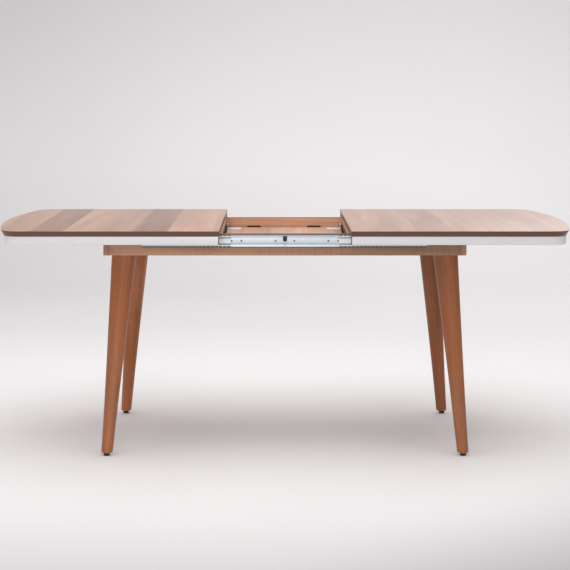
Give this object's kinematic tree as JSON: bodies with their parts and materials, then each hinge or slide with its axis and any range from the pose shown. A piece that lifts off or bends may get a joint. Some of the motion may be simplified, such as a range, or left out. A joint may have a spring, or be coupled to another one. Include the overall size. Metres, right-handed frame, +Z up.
{
  "type": "extendable dining table",
  "caption": "Dining table with two top halves on ball-bearing slides, pulled apart over a well that holds a folded leaf, on splayed tapered round legs.",
  "frame": {"origin": "on the floor under the middle of the table", "axes": "+X along the table's length, +Y to the back, +Z up"},
  "size_m": [1.916, 0.8, 0.75],
  "materials": {
    "top_laminate": "walnut-look plank laminate, satin",
    "leaf_laminate": "walnut-look laminate, satin",
    "skirt_paint": "pale grey painted band, satin",
    "leg_wood": "stained beech, satin lacquer",
    "rail_wood": "walnut-look board, satin",
    "inner_wood": "orange-brown board, satin",
    "frame_wood": "plain sanded wood",
    "glide_plastic": "black moulded",
    "slide_plastic": "black moulded",
    "slide_steel": "bright zinc plate",
    "fitting_steel": "bright zinc plate"
  },
  "bodies": {
    "base": {"back_leaf_slat": "frame_wood", "back_left_corner_block": "frame_wood", "back_left_foot_glide": "glide_plastic", "back_left_leg": "leg_wood", "back_left_leg_bolt": "fitting_steel", "back_left_slide_outer": "slide_steel", "back_right_corner_block": "frame_wood", "back_right_foot_glide": "glide_plastic", "back_right_leg": "leg_wood", "back_right_leg_bolt": "fitting_steel", "back_right_slide_outer": "slide_steel", "back_side_rail": "rail_wood", "back_slide_stop": "slide_plastic", "front_leaf_slat": "frame_wood", "front_left_corner_block": "frame_wood", "front_left_foot_glide": "glide_plastic", "front_left_leg": "leg_wood", "front_left_leg_bolt": "fitting_steel", "front_left_slide_outer": "slide_steel", "front_right_corner_block": "frame_wood", "front_right_foot_glide": "glide_plastic", "front_right_leg": "leg_wood", "front_right_leg_bolt": "fitting_steel", "front_right_slide_outer": "slide_steel", "front_side_rail": "rail_wood", "front_slide_stop": "slide_plastic", "leaf_lower_panel": "leaf_laminate", "leaf_upper_panel": "leaf_laminate", "left_cross_rail": "inner_wood", "left_end_rail": "rail_wood", "left_leaf_hinge": "fitting_steel", "left_pivot_bracket": "fitting_steel", "left_pivot_pin": "fitting_steel", "right_cross_rail": "inner_wood", "right_end_rail": "rail_wood", "right_leaf_hinge": "fitting_steel", "right_pivot_bracket": "fitting_steel", "right_pivot_pin": "fitting_steel"},
    "front_left_middle": {"front_left_slide_middle": "slide_steel"},
    "front_left_cage": {"front_left_ball_cage": "slide_plastic"},
    "back_left_middle": {"back_left_slide_middle": "slide_steel"},
    "back_left_cage": {"back_left_ball_cage": "slide_plastic"},
    "left_half": {"left_top_panel": "top_laminate", "left_skirt": "skirt_paint", "left_end_batten": "frame_wood", "front_left_slide_inner": "slide_steel", "front_left_slide_batten": "frame_wood", "back_left_slide_inner": "slide_steel", "back_left_slide_batten": "frame_wood"},
    "front_right_middle": {"front_right_slide_middle": "slide_steel"},
    "front_right_cage": {"front_right_ball_cage": "slide_plastic"},
    "back_right_middle": {"back_right_slide_middle": "slide_steel"},
    "back_right_cage": {"back_right_ball_cage": "slide_plastic"},
    "right_half": {"right_top_panel": "top_laminate", "right_skirt": "skirt_paint", "right_end_batten": "frame_wood", "front_right_slide_inner": "slide_steel", "front_right_slide_batten": "frame_wood", "back_right_slide_inner": "slide_steel", "back_right_slide_batten": "frame_wood"}
  },
  "joints": [
    {"name": "left_half_slide", "type": "slide", "parent": "base", "child": "left_half", "axis": [1, 0, 0], "range_m": [0, 0.2115]},
    {"name": "right_half_slide", "type": "slide", "parent": "base", "child": "right_half", "axis": [-1, 0, 0], "range_m": [0, 0.2115]},
    {"name": "front_left_middle_slide", "type": "slide", "parent": "base", "child": "front_left_middle", "axis": [1, 0, 0], "range_m": [0, 0.167]},
    {"name": "front_left_cage_slide", "type": "slide", "parent": "base", "child": "front_left_cage", "axis": [1, 0, 0], "range_m": [0, 0.0837]},
    {"name": "front_right_middle_slide", "type": "slide", "parent": "base", "child": "front_right_middle", "axis": [-1, 0, 0], "range_m": [0, 0.167]},
    {"name": "front_right_cage_slide", "type": "slide", "parent": "base", "child": "front_right_cage", "axis": [-1, 0, 0], "range_m": [0, 0.0837]},
    {"name": "back_left_middle_slide", "type": "slide", "parent": "base", "child": "back_left_middle", "axis": [1, 0, 0], "range_m": [0, 0.167]},
    {"name": "back_left_cage_slide", "type": "slide", "parent": "base", "child": "back_left_cage", "axis": [1, 0, 0], "range_m": [0, 0.0837]},
    {"name": "back_right_middle_slide", "type": "slide", "parent": "base", "child": "back_right_middle", "axis": [-1, 0, 0], "range_m": [0, 0.167]},
    {"name": "back_right_cage_slide", "type": "slide", "parent": "base", "child": "back_right_cage", "axis": [-1, 0, 0], "range_m": [0, 0.0837]}
  ],
  "couplings": [
    {"joint": "front_left_middle_slide", "follows": "left_half_slide", "ratio": 0.787},
    {"joint": "front_left_cage_slide", "follows": "left_half_slide", "ratio": 0.3935},
    {"joint": "front_right_middle_slide", "follows": "right_half_slide", "ratio": 0.787},
    {"joint": "front_right_cage_slide", "follows": "right_half_slide", "ratio": 0.3935},
    {"joint": "back_left_middle_slide", "follows": "left_half_slide", "ratio": 0.787},
    {"joint": "back_left_cage_slide", "follows": "left_half_slide", "ratio": 0.3935},
    {"joint": "back_right_middle_slide", "follows": "right_half_slide", "ratio": 0.787},
    {"joint": "back_right_cage_slide", "follows": "right_half_slide", "ratio": 0.3935}
  ]
}
